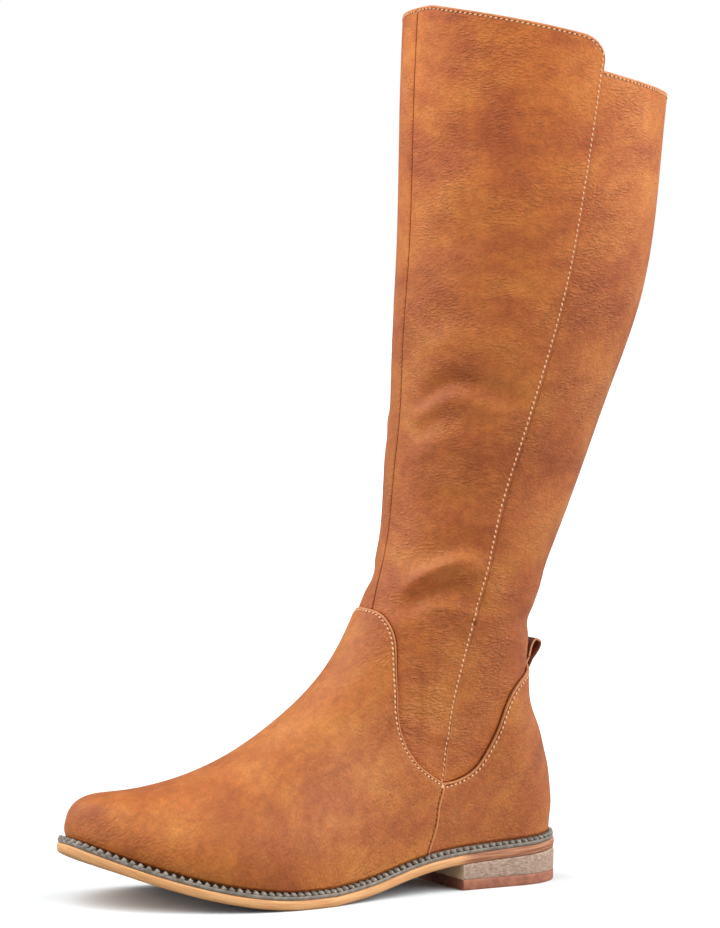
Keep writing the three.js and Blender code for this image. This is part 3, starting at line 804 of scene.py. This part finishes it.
vamp = sheet(
    "vamp_leather", lay_vamp, spaced(420 * mm, 1.4 * mm), spaced(95 * mm, 1.25 * mm),
    1.25 * mm, 0.35 * mm, foot_leather, cut_edge
)
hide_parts("vamp")
heel_leather = leather("heel_leather", (193, 118, 50), (176, 97, 42), (154, 78, 37), **foot_grain)
counter = sheet(
    "counter_leather", lay_counter, spaced(230 * mm, 1.4 * mm), spaced(60 * mm, 1.25 * mm),
    1.2 * mm, 0.35 * mm, heel_leather, cut_edge
)
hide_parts("counter")


# ------------------------------
# Lining and collar facing: a thin textile lining inside the whole boot, and over its top a deep band of
# leather, folded in at the collar and stitched through with the panels.
facing_foot = 352 * mm
lining_thick, facing_thick = 0.8 * mm, 1.1 * mm
inside = -1.1 * mm  # where the lining's outer face lies, measured from the form


def lay_lining(a, b):
    row = row_at_height(a[0], facing_foot - 0.3 * mm)
    return (on_body(a, row * b, inside),)


def lay_facing(start, turn, collar):
    def lay(a, b):
        u = start + turn * a
        return (on_body(u, rows_between(u, b, lambda u: facing_foot, collar), inside),)

    return lay


lining = sheet("lining", lay_lining, np.linspace(0, 1, 161), np.linspace(0, 1, 130), lining_thick, 0.2 * mm)


def two_tone(name, dark, light, tone, relief=None, deep=0.2, stretch=None, **shine):
    """A finish that drifts between two tones, with a fine relief up to `deep` mm.

    tone and relief are the scale, detail and roughness of noises; with no relief, the tones stand up."""
    material, web, place, shader = material_of(name, **shine)
    drift = web.noise(web.stretched(place, stretch) if stretch else place, *tone)
    web.colour(shader, web.blend(web.range(drift, 0.3, 0.7), srgb(*dark), srgb(*light)))
    web.relief(shader, web.noise(place, *relief) if relief else drift, deep)
    return material


lining.data.materials.append(two_tone(
    "lining_cloth", (150, 118, 88), (196, 164, 128), (1400, 2), deep=0.25, stretch=(1, 1, 0.35),
    roughness=0.9, gloss=0.1
))
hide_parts("upper")
facing_leather = leather("facing_leather", (178, 112, 62), (160, 96, 52), (140, 80, 44), wrinkle=0.3)
for name, start, collar, tall in (
    ("collar_facing_shin", -side_seam, shin_collar, 55 * mm),
    ("collar_facing_calf", side_seam, calf_collar, 28 * mm),
):
    facing = sheet(
        name, lay_facing(start, 2 * side_seam, collar), spaced(175 * mm, 2 * mm), spaced(tall, 2 * mm),
        facing_thick, 0.35 * mm, facing_leather
    )
    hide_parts("upper")


# ------------------------------
# Thread: waxed peach-coloured thread, lock-stitched 1.5 mm in from every edge that laps over another, and
# brown down the vamp's side edges. Each stitch lies a little across its row, in a shallow channel.
stitch_pitch, stitch_inset = 2.5 * mm, 1.5 * mm
stitch_shape = Vector((0.46, 0.38, 0.78)) * mm  # half its width, height and length
strands = (900, 2)
waxed_thread = two_tone(
    "waxed_thread", (232, 172, 126), (250, 206, 164), strands, roughness=0.55, gloss=0.3
)
brown_thread = two_tone("brown_thread", (116, 62, 34), (156, 92, 54), strands, roughness=0.6, gloss=0.3)


def surface_of(*pieces):
    """The pieces' faces, to be searched for the leather's face under a point."""
    bm = bmesh.new()
    for piece in pieces:
        bm.from_mesh(piece.data)
    tree = BVHTree.FromBMesh(bm)
    bm.free()
    return tree


def seam_points(u, row, out, inset, surface):
    """Places of stitches along the line (u, row), moved `inset` to its left, with their directions."""
    line = on_body(u, row, out)
    normal = unit(on_body(u, row, out + mm) - line)
    line = line + inset * np.cross(normal, unit(np.gradient(line, axis=0)))
    run = np.concatenate([[0], np.cumsum(np.linalg.norm(np.diff(line, axis=0), axis=1))])
    count = max(2, int(run[-1] / stitch_pitch))
    stops = (np.arange(count) + 0.5) * run[-1] / count
    at, across = (np.stack([np.interp(stops, run, v[:, k]) for k in range(3)], 1) for v in (line, normal))
    along = unit(np.gradient(at, axis=0))
    above, search = 3 * mm, 8 * mm
    for place, lift, way in zip(at, across, along):
        hit, face_normal, _, _ = surface.ray_cast(Vector(place + lift * above), -Vector(lift), search)
        if hit:
            yield hit, face_normal, Vector(way)


def stitches(name, *lines, knots=(), finish=waxed_thread, size=1.0):
    """One mesh of stitches along lines of places. A knot is two large stitches crossed over each other."""
    slant, crossed, knot_size, standing = 14, (40, 130), np.array([1.1, 1.3, 1.9]), 0.12 * mm
    laid = [(*spot, slant, size) for line in lines for spot in line]
    laid += [(*spot, turn, knot_size) for spot in knots for turn in crossed]
    bm = bmesh.new()
    bmesh.ops.create_uvsphere(bm, u_segments=8, v_segments=6, radius=1)
    bead = np.array([vert.co for vert in bm.verts])
    bead_faces = [[vert.index for vert in face.verts] for face in bm.faces]
    points, faces = [], []
    for at, lift, way, turn, size in laid:
        side = (Matrix.Rotation(math.radians(turn), 3, lift) @ way).cross(lift).normalized()
        axes = np.array([side, lift, side.cross(lift)])
        first = len(points) * len(bead)
        faces += [[first + index for index in face] for face in bead_faces]
        points.append(np.array(at + lift * standing) + (bead * np.array(stitch_shape) * size) @ axes)
    mesh = bpy.data.meshes.new(name)
    mesh.from_pydata(np.concatenate(points), [], faces)
    bm.clear()
    bm.from_mesh(mesh)
    bpy.data.meshes.remove(mesh)
    bmesh.ops.recalc_face_normals(bm, faces=bm.faces)
    piece = finished(name, bm, finish)
    return piece


def up_the_side(u):
    rows = row_at_height(u, np.linspace(51 * mm, shin_collar(0.246) - 1 * mm, 400))
    return np.full(400, u), rows


def vamp_side(side):
    top_row = row_at_height(side_seam, edge_height(vamp_edge, 1))
    return np.full(60, side * side_seam), np.linspace(0, 1, 60) * top_row


shin_faces = surface_of(*(bpy.data.objects[name] for name in ("shin_panel_outer", "shin_panel_inner")))
calf_faces, vamp_faces, counter_faces = (surface_of(piece) for piece in (calf_panel, vamp, counter))
seam_clear = 0.004
around_shin = np.linspace(-side_seam + seam_clear, side_seam - seam_clear, 600)
around_calf = np.linspace(side_seam + seam_clear, 3 * side_seam - seam_clear, 600)
shin_line = around_shin, row_at_height(around_shin, shin_collar(around_shin)), shin_out
calf_line = around_calf, row_at_height(around_calf, calf_collar(around_calf)), 0
vamp_line = *round_edge(vamp_edge, 0, 500), vamp_out
counter_line = *round_edge(counter_edge, 0.5, 500), counter_out
stitches(
    "thread_side_seams",
    seam_points(*up_the_side(side_seam), shin_out, stitch_inset, shin_faces),
    seam_points(*up_the_side(-side_seam), shin_out, -stitch_inset, shin_faces),
)
vamp_ends = [
    list(seam_points(*vamp_side(side), vamp_out, side * stitch_inset, vamp_faces)) for side in (1, -1)
]
stitches(
    "thread_vamp",
    seam_points(*vamp_line, -stitch_inset, vamp_faces),
    knots=[ends[-1] for ends in vamp_ends],
)
stitches("thread_vamp_sides", *vamp_ends, finish=brown_thread, size=0.9)
stitches("thread_counter", seam_points(*counter_line, -stitch_inset, counter_faces))
stitches(
    "thread_collar",
    seam_points(*shin_line, -stitch_inset, shin_faces),
    seam_points(*calf_line, -stitch_inset, calf_faces),
)


# ------------------------------
# Pull loop: a dark leather strap folded over into a teardrop, its two ends caught under the top of the
# counter. Its cut edges are pale.
loop_wide, loop_thick, loop_tall, loop_deep, loop_tail = 13 * mm, 0.9 * mm, 9.2 * mm, 3.4 * mm, 6 * mm
loop_lean, tail_share = 0.46, 0.12  # its lean in radians, and each tail's share of the strap
loop_foot_z = edge_height(counter_edge, 0) + 1 * mm
loop_foot = on_body(0.5, row_at_height(0.5, loop_foot_z), layer_gap + overlay + piece_gap)


def lay_loop(a, b):
    turn = np.clip((a - tail_share) / (1 - 2 * tail_share), 0, 1) * 2 * np.pi
    deep = loop_deep / 2 * np.sin(turn) * np.sin(turn / 2) ** 1.5
    tall = loop_tall * (1 - np.cos(turn)) / 2
    tail = np.clip(np.maximum(tail_share - a, a - 1 + tail_share) / tail_share, 0, 1)
    x = deep + np.where(a < 0.5, 1, -1) * 0.55 * mm
    z = tall - tail * loop_tail
    lean_x = x * math.cos(loop_lean) - z * math.sin(loop_lean)
    lean_z = x * math.sin(loop_lean) + z * math.cos(loop_lean)
    centre_x = loop_foot[0] - loop_deep / 2 - 0.5 * mm
    y = loop_foot[1] + (b - 0.5) * loop_wide
    points = np.stack([centre_x + lean_x, y, loop_foot_z + lean_z], axis=-1)
    return points, loop_wide * np.minimum(b, 1 - b) + 4 * mm * (a > 0.54)


strap_leather, web, place, shader = material_of("strap_leather", roughness=0.5, gloss=0.35)
grain = web.noise(place, 1300.0, 2.0)
dark_hide = web.blend(web.range(grain, 0.3, 0.7), srgb(88, 42, 22), srgb(122, 62, 34))
pale_edge = web.range(web.mark("edge"), 0.9, 0.97)
web.colour(shader, web.blend(pale_edge, dark_hide, srgb(206, 148, 108)))
web.relief(shader, grain, 0.2)
strap_back = two_tone("strap_back", (138, 70, 40), (176, 98, 58), (1300, 2), roughness=0.7, gloss=0.2)
pull_loop = sheet(
    "pull_loop_strap", lay_loop, np.linspace(0, 1, 90), np.linspace(0, 1, 12), loop_thick, 0.2 * mm
)
pull_loop.data.materials.append(strap_leather)
pull_loop.data.materials.append(strap_back)
loop_middle = sum((vert.co for vert in pull_loop.data.vertices), Vector()) / len(pull_loop.data.vertices)
for face in pull_loop.data.polygons:
    outwards = face.normal.dot(face.center - loop_middle)
    face.material_index = int(outwards < 0 and abs(face.normal.y) < 0.5)
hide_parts("pull_loop")


# ------------------------------
# Insole: the board that the leather is lasted over, covered with a smooth sock lining. It keeps its
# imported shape.
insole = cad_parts["insole"]
insole.data.materials.clear()
insole.data.materials.append(two_tone(
    "sock_lining", (176, 138, 100), (208, 172, 134), (45, 3), (1100, 2), 0.15, roughness=0.7, gloss=0.2
))


# ------------------------------
# Welt: a strip of grey moulded rubber cemented round the foot of the leather. Its outer side is flat, and
# short ribs run over its top from the leather to just inside the edge; the top between the ribs is painted
# dark as shade.
rib_pitch, rib_half, band_tall, rib_over = 3.75 * mm, 1.3 * mm, 1.8 * mm, 0.3 * mm


def outline(u, out):
    """Points of the last's bottom outline moved out by `out`, as x and y."""
    u = np.asarray(u, float)
    along = body_point(u + 0.002, np.zeros(u.shape)) - body_point(u - 0.002, np.zeros(u.shape))
    outward = unit(np.stack([along[..., 1], -along[..., 0]], axis=-1))
    return body_point(u, np.zeros(u.shape))[..., :2] + outward * np.asarray(out)[..., None]


def welt_reach(u):
    return welt_at_heel + (welt_at_toe - welt_at_heel) * (0.5 + 0.5 * np.cos(2 * np.pi * u))


def shell(points, cap=False, levels=None):
    """A closed skin over a grid of points that comes round on itself, with any open end filled.

    The points' levels, if given, are kept as "level", for fibres that follow the sole."""
    across, up = points.shape[:2]
    bm = bmesh.new()
    bmesh.ops.create_grid(bm, x_segments=up - 1, y_segments=across - 1, size=0.5)
    for vert, point in zip(bm.verts, points.reshape(-1, 3)):
        vert.co = Vector(point) + datum
    if levels is not None:
        layer = bm.verts.layers.float.new("level")
        for vert, level in zip(bm.verts, np.tile(levels, across)):
            vert[layer] = level
    bmesh.ops.remove_doubles(bm, verts=bm.verts, dist=merge_within)
    bmesh.ops.dissolve_degenerate(bm, edges=bm.edges, dist=merge_within)
    if cap:
        bmesh.ops.holes_fill(bm, edges=[edge for edge in bm.edges if edge.is_boundary], sides=0)
    bmesh.ops.recalc_face_normals(bm, faces=bm.faces)
    return bm


# The strip's section, as shares of the way out and up.
welt_profile = [
    (0, 0), (1, 0), (1, 0.55), (0.985, 0.6), (0.96, 0.62), (0.62, 0.5), (0.5, 1), (0, 1), (0, 0),
]
welt_u = np.linspace(0, 1, 401)
welt_points = []
for share, level in welt_profile:
    spot = outline(welt_u, -wall_inside + (welt_reach(welt_u) + wall_inside) * share)
    height = seat_z(spot[:, 0]) + (welt_thick + piece_gap) * level
    welt_points.append(np.column_stack([spot, height]))
welt_bm = shell(np.stack(welt_points, axis=1))
# The strip's upward faces, seen between the ribs, take painted shade, as dark as where the leather shades
# them.
for face in welt_bm.faces:
    face.material_index = int(face.normal.z > 0.5)

fine_u = np.linspace(0, 1, 4000)
fine_line = outline(fine_u, 4 * mm)
run = np.concatenate([[0], np.cumsum(np.linalg.norm(np.diff(fine_line, axis=0), axis=1))])
rib_count = round(run[-1] / rib_pitch)
for stop in (np.arange(rib_count) + 0.5) * run[-1] / rib_count:
    u = np.interp(stop, run, fine_u)
    rib = rib_half * (0.55 + 0.45 * float(welt_reach(u)) / welt_at_toe)
    leather_face = vamp_out if abs((u + 0.5) % 1 - 0.5) < side_seam else counter_out
    start, end = outline(u, leather_face - 0.5 * mm), outline(u, welt_reach(u) - 0.1 * mm)
    middle = (start + end) / 2
    top = float(seat_z(middle[0])) + band_tall + rib_over
    way = Vector((*(end - start), seat_z(end[0]) - seat_z(start[0])))
    turned = way.to_track_quat("Z", "Y").to_matrix().to_4x4()
    place = Matrix.Translation(Vector((*middle, top)) + datum) @ turned
    bmesh.ops.create_cone(
        welt_bm, cap_ends=True, segments=4, radius1=rib, radius2=rib, depth=way.length, matrix=place
    )
dust = (300, 3)
welt_rubber = two_tone(
    "welt_rubber", (126, 119, 110), (164, 155, 144), dust, (1500, 2), 0.12, roughness=0.55, gloss=0.4
)
welt_painted_shade = two_tone("welt_painted_shade", (52, 38, 28), (78, 60, 46), dust, deep=0.1, roughness=0.8, gloss=0.1)
welt = finished("welt_strip", welt_bm, welt_rubber, welt_painted_shade)
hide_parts("welt")


# ------------------------------
# Outsole: one board of leather-look rubber from toe to heel, its edge trimmed, rounded and left pale, with
# shallow cross grooves cut into the tread under the ball of the foot.
cement_gap = 0.05 * mm


def plate_points(stations, low, high, edge_round, tread=0.0):
    """Loops of points round a plate under the foot, one for each pair of places on its edge."""
    level = np.array([0, 0.06, 0.2, 0.5, 0.8, 0.94, 1])
    tuck = edge_round * (1 - (1 - np.abs(2 * level - 1) ** 3) ** (1 / 3))
    across = np.linspace(0, 1, 13)[1:-1]
    levels = np.concatenate([0 * across, level, 0 * across + 1, level[::-1], [0]])
    loops = []
    for outer, inner in stations:
        edges = [outline(np.full(level.shape, u), welt_reach(u) + sole_edge - tuck) for u in (inner, outer)]
        under = edges[0][0] + (edges[1][0] - edges[0][0]) * across[:, None]
        over = edges[0][-1] + (edges[1][-1] - edges[0][-1]) * across[::-1, None]
        spots = np.concatenate([under, edges[1], over, edges[0][::-1], under[:1]])
        x = spots[:, 0]
        z = low(x) + (high(x) - low(x)) * levels
        grooved = np.zeros(len(z))
        grooved[2 : len(across) - 2] = 1
        z = z + tread * grooved * groove(x)
        loops.append(np.column_stack([spots, z]))
    return np.stack(loops), levels


def groove(x):
    """1 in a cross groove of the tread, 0 on the ribs between."""
    pitch, from_x, to_x = 6.5 * mm, 0.47 * length, 0.88 * length
    inside = eased((x - from_x) / (2 * mm)) * eased((to_x - x) / (2 * mm))
    return inside * eased((np.cos(2 * np.pi * x / pitch) - 0.55) / 0.3)


def ground(x):
    return np.zeros(np.shape(x))


stations = [(u, -u) for u in 0.25 + 0.25 * np.cos(np.linspace(0, np.pi, 340))]
sole_points, sole_levels = plate_points(
    stations, tread_z, lambda x: seat_z(x) - cement_gap, edge_round=1.5 * mm, tread=0.5 * mm
)
outsole = finished("outsole_board", shell(sole_points, levels=sole_levels))
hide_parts("outsole")


def fibres(web, place, along, across, thick):
    """Fibres in a cut edge: a value that streaks along the edge, following its level."""
    flat = web.stretched(place, (along, along, 0))
    rise = web.times(web.mark("level"), thick * across)
    lifted = web.add("ShaderNodeCombineXYZ", Z=rise).outputs[0]
    followed = web.add("ShaderNodeVectorMath", {"operation": "ADD"}, _0=flat, _1=lifted).outputs[0]
    return web.noise(followed, 1.0, 3.0, 0.6)


sole_edge_finish, web, place, shader = material_of("sole_edge", roughness=0.55, gloss=0.3)
streak = fibres(web, place, 60.0, 1300.0, outsole_thick)
pale = web.blend(web.range(streak, 0.3, 0.7), srgb(212, 150, 94), srgb(236, 182, 126))
red = web.blend(web.range(streak, 0.25, 0.75), srgb(140, 86, 58), srgb(208, 146, 108))
along_sole = web.add("ShaderNodeSeparateXYZ", Vector=place).outputs["X"]
web.colour(shader, web.blend(web.range(along_sole, -46 * mm, -34 * mm), red, pale))
web.relief(shader, streak, 0.12)
outsole.data.materials.append(sole_edge_finish)
outsole.data.materials.append(two_tone(
    "sole_underside", (112, 62, 38), (140, 82, 52), (40, 3), (1200, 3), roughness=0.7, gloss=0.25
))
for face in outsole.data.polygons:
    face.material_index = int(face.normal.z < -0.97)


# ------------------------------
# Stacked heel: a block of pressed leather board, its layers and fibres showing on the trimmed sides, and a
# rubber top lift nailed under it.
top_lift_thick = 5 * mm


def place_at_breast(side):
    """Where the edge of the sole passes the heel's breast."""
    u = np.linspace(0.2, 0.5, 3000)
    x = outline(side * u, welt_reach(u) + sole_edge)[:, 0]
    return side * np.interp(-heel_length, -x, u)


outer_breast, inner_breast = place_at_breast(1), place_at_breast(-1)
shares = 1 - np.sin(np.linspace(0, np.pi / 2, 70))
heel_stations = [
    (0.5 + (outer_breast - 0.5) * (1 - t), -0.5 + (inner_breast + 0.5) * (1 - t)) for t in shares
]


def heel_piece(name, low, high, node, slot, *materials):
    points, levels = plate_points(heel_stations, low, high, edge_round=0.35 * mm)
    bm = shell(points, cap=True, levels=levels)
    corners = [edge for edge in bm.edges if edge.is_manifold and edge.calc_face_angle() > 0.9]
    round_off(bm, corners, 0.3 * mm, 2)
    piece = finished(name, bm, *materials)
    for face in piece.data.polygons:
        face.material_index = int(len(materials) > 1 and face.normal.x > 0.9)
    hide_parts(node)
    return piece


stacked_side, web, place, shader = material_of("stacked_side", roughness=0.7, gloss=0.2)
streak = web.noise(web.stretched(place, (0.3, 0.3, 1)), 1500.0, 3.0, 0.6)
speck = web.noise(web.stretched(place, (0.5, 0.5, 1)), 1100.0, 2.0, 0.7)
board = web.blend(web.range(streak, 0.35, 0.65), srgb(164, 136, 118), srgb(200, 174, 155))
board = web.blend(web.range(speck, 0.54, 0.70, 0.0, 0.4), board, srgb(128, 98, 82))
height_up = web.add("ShaderNodeSeparateXYZ", Vector=place).outputs["Z"]
layer_tall = 2.6 * mm
layer_share = web.math("FRACT", web.math("DIVIDE", height_up, layer_tall))
joint = web.range(layer_share, 0.0, 0.12, 0.22, 0.0)
web.colour(shader, web.blend(joint, board, srgb(120, 94, 70)))
web.relief(shader, web.plus(streak, speck), 0.2)
breast_face, web, place, shader = material_of("breast_face", roughness=0.65, gloss=0.2)
streak = fibres(web, place, 160.0, 1300.0, 10 * mm)
web.colour(shader, web.blend(web.range(streak, 0.3, 0.7), srgb(240, 206, 162), srgb(250, 222, 186)))
web.relief(shader, streak, 0.1)
lift_rubber = two_tone(
    "lift_rubber", (158, 98, 74), (184, 122, 96), (260, 4, 0.6), (1400, 2), 0.15, roughness=0.6, gloss=0.3
)
heel_piece(
    "stacked_heel", lambda x: ground(x) + top_lift_thick + cement_gap, lambda x: tread_z(x) - cement_gap,
    "heel_block", "stacked_heel", stacked_side, breast_face
)
heel_piece(
    "rubber_top_lift", ground, lambda x: ground(x) + top_lift_thick,
    "top_lift", "top_lift_rubber", lift_rubber
)


# ------------------------------
# Floor, light and camera: a pale floor under a white backdrop, soft light from both sides and above, and a
# camera that stands off the outer side, a little towards the toe.

# The floor throws less light back at the boot than the camera sees on it.
pale, web, place, shader = material_of("pale_floor", roughness=0.9, gloss=0.1)
seen = web.add("ShaderNodeLightPath").outputs["Is Camera Ray"]
web.colour(shader, web.blend(seen, (0.36, 0.36, 0.36, 1), (0.92, 0.975, 1, 1)))
floor_bm = bmesh.new()
bmesh.ops.create_grid(floor_bm, x_segments=1, y_segments=1, size=12)
floor = placed("floor", floor_bm, pale)
floor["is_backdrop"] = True

world = bpy.data.worlds.new("studio")
bpy.context.scene.world = world
world.use_nodes = True
# The backdrop is white to the camera, and lights the boot more softly than that.
web = Web(world.node_tree)
seen = web.add("ShaderNodeLightPath").outputs["Is Camera Ray"]
backdrop = world.node_tree.nodes["Background"]
backdrop.inputs["Color"].default_value = (1, 1, 1, 1)
web.feed(backdrop.inputs["Strength"], web.range(seen, 0.0, 1.0, 0.33, 1.0))

target = Vector((4.175, -1.5, 200)) * mm
turn, tilt, roll = (math.radians(angle) for angle in (30.3, 3.35, -1.13))
camera_distance, lens_mm = 1.9, 157.11207
away = Vector((math.sin(turn) * math.cos(tilt), math.cos(turn) * math.cos(tilt), math.sin(tilt)))
right = Vector((-math.cos(turn), math.sin(turn), 0))
up = away.cross(right)


def soft_light(name, direction, spread, strength):
    """Light from a large soft source far off in that direction, `spread` degrees wide."""
    lamp = bpy.data.lights.new(name, "SUN")
    lamp.angle, lamp.energy = math.radians(spread), strength
    in_scene(name, lamp).rotation_euler = Vector(direction).to_track_quat("Z", "Y").to_euler()


soft_light("left", away * 0.1 - right + Vector((0, 0, 0.9)), 80, 2.9)
soft_light("right", away * 0.1 + right + Vector((0, 0, 0.6)), 80, 3.1)
soft_light("top", away * 0.5 + Vector((0, 0, 1.0)), 60, 0.4)

camera = in_scene("camera", bpy.data.cameras.new("camera"))
camera.data.sensor_width = 36
camera.data.lens = lens_mm
side = right * math.cos(roll) - up * math.sin(roll)
top = right * math.sin(roll) + up * math.cos(roll)
facing = Matrix((side, top, away)).transposed().to_4x4()
camera.matrix_world = Matrix.Translation(target + away * camera_distance) @ facing
bpy.context.scene.camera = camera
bpy.context.scene.view_settings.view_transform = "Standard"

[[list(corner) for corner in box] for box in (cad_box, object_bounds())]
